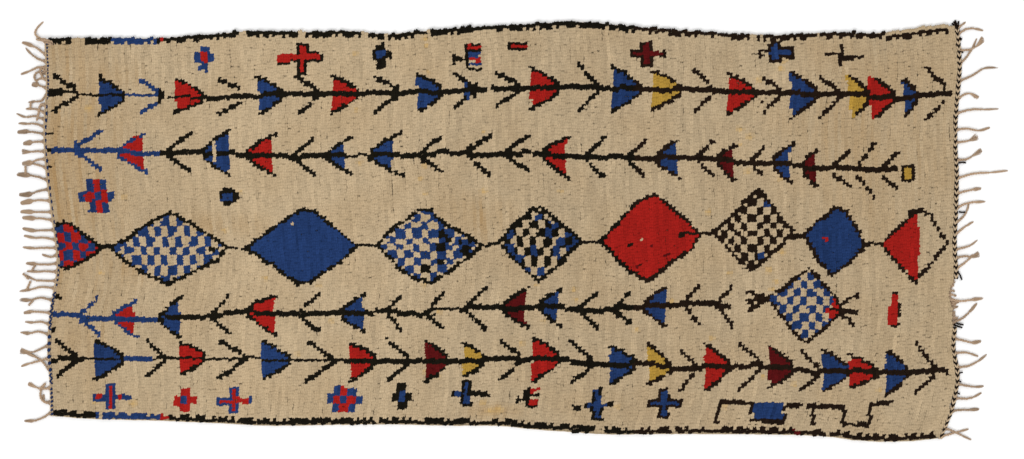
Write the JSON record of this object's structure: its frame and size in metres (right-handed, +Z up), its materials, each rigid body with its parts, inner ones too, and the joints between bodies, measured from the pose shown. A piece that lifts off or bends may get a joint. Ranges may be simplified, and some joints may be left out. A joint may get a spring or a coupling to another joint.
{
  "type": "moroccan rug",
  "caption": "Long hand-knotted wool village rug lying flat: cream pile with a lozenge and tree pattern, low selvedges, twined ends and knotted warp fringe.",
  "frame": {"origin": "on the plane the rug rests on, under the middle of the pile field", "axes": "+X along the rug's length, towards the end with the brown and cream twined cord; +Y across its width, towards the side that is at the top of the picture; +Z up, from the underside to the pile"},
  "size_m": [3.3179, 1.4038, 0.0145],
  "materials": {
    "pile_wool": "cut wool pile, cream with indigo, black, red and yellow knots",
    "cord_wool": "twined wool yarn in two colours, with plied warp fringe",
    "bare_warp": "bare, frayed warps of undyed wool"
  },
  "bodies": {
    "root": {"knotted_field": "pile_wool", "left_end_cord": "cord_wool", "right_end_cord_upper": "cord_wool", "right_end_cord_lower": "cord_wool", "right_end_frayed": "bare_warp"}
  },
  "joints": []
}
